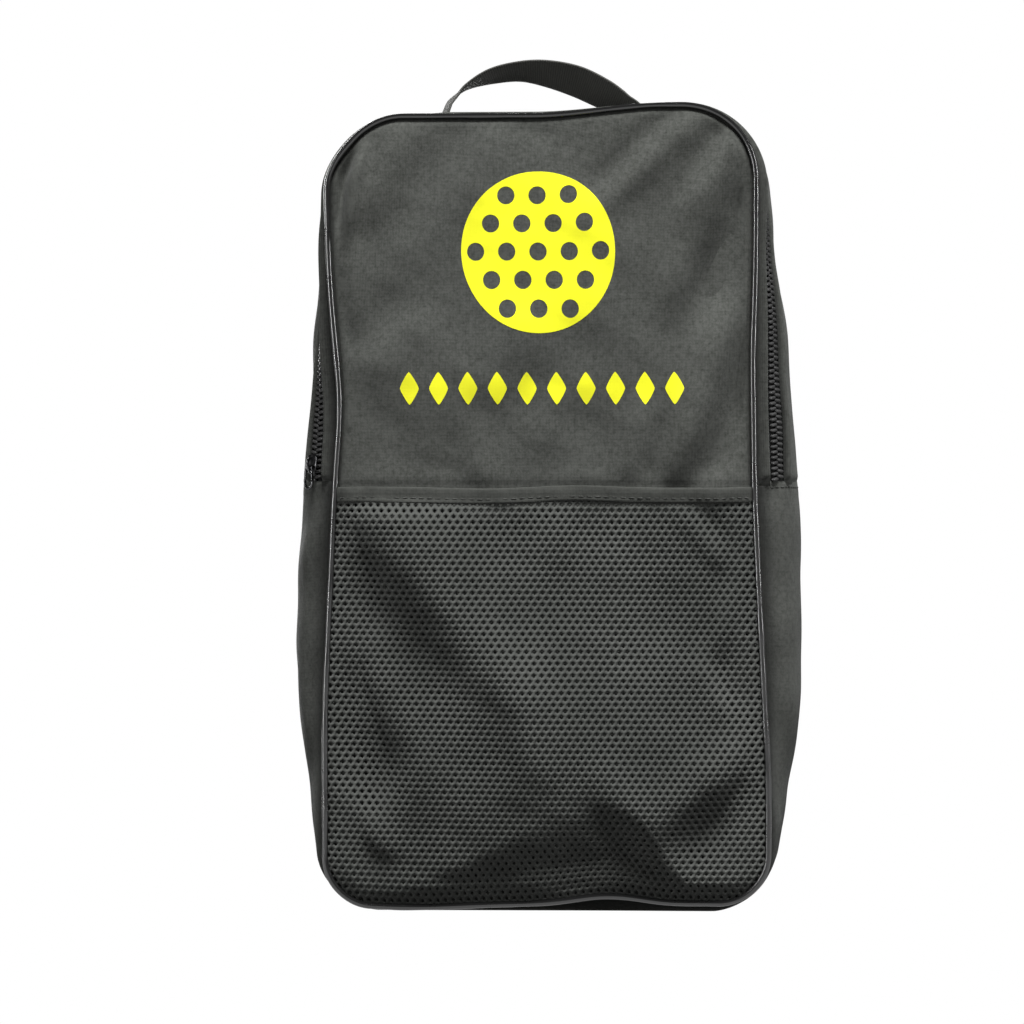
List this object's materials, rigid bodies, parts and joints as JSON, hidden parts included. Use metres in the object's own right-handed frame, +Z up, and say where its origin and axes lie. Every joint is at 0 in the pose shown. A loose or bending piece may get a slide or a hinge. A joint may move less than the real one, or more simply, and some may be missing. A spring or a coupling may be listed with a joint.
{
  "type": "paddle case",
  "caption": "Soft zip-up case for racket-sports paddles, with piped seams, a net pocket on the front, a front flap that folds open at the zip ends and a webbing grab handle.",
  "frame": {"origin": "middle of the flat base, on the surface that the case stands on", "axes": "+X to the right seen from the front, +Y to the back (the net pocket faces -Y), +Z up along the case's height"},
  "size_m": [0.2528, 0.0881, 0.4297],
  "materials": {
    "cloth": "coated oxford weave, dark grey, low sheen",
    "lining": "thin smooth black lining cloth",
    "foam": "light closed-cell foam sheet",
    "piping": "glossy black vinyl cord",
    "net": "knitted polyester net, dark grey",
    "zip_tape": "black woven tape",
    "zip_teeth": "black nylon, slightly glossy",
    "metal": "black nickel, glossy",
    "webbing": "ribbed dark webbing"
  },
  "bodies": {
    "case": {"front_panel_lower": "cloth", "back_panel": "cloth", "lower_gusset": "cloth", "back_zip_strip": "cloth", "net_pocket_hem": "cloth", "front_lining_lower": "lining", "back_lining": "lining", "lower_gusset_lining": "lining", "front_binding_lower": "lining", "back_binding_lower": "lining", "back_binding_upper": "lining", "front_foam_lower": "foam", "back_foam": "foam", "front_piping_lower": "piping", "back_piping": "piping", "net_pocket": "net", "back_zip_tape": "zip_tape", "back_zip_teeth": "zip_teeth", "handle_end_left": "webbing", "handle_end_right": "webbing"},
    "flap": {"front_panel_upper": "cloth", "front_lining_upper": "lining", "front_binding_upper": "lining", "front_foam_upper": "foam", "front_piping_upper": "piping", "front_zip_strip": "cloth", "front_zip_tape": "zip_tape", "front_zip_teeth": "zip_teeth"},
    "handle": {"handle_strap": "webbing"},
    "slider": {"zip_slider": "metal"},
    "pull": {"zip_pull": "metal"}
  },
  "joints": [
    {"name": "flap_fold", "type": "hinge", "parent": "case", "child": "flap", "pos_m": [0, -0.0408, 0.213], "axis": [1, 0, 0], "range_deg": [0, 60]},
    {"name": "slider_run", "type": "slide", "parent": "case", "child": "slider", "axis": [0.0384, 0, 0.9993], "range_m": [0, 0.095]},
    {"name": "pull_swing", "type": "hinge", "parent": "slider", "child": "pull", "pos_m": [-0.11816, -0.02161, 0.22091], "axis": [-0.6686, 0.7431, 0.0257], "range_deg": [0, 165]},
    {"name": "handle_lean", "type": "hinge", "parent": "case", "child": "handle", "pos_m": [0, 0.015, 0.4015], "axis": [1, 0, 0], "range_deg": [-10, 35]}
  ]
}
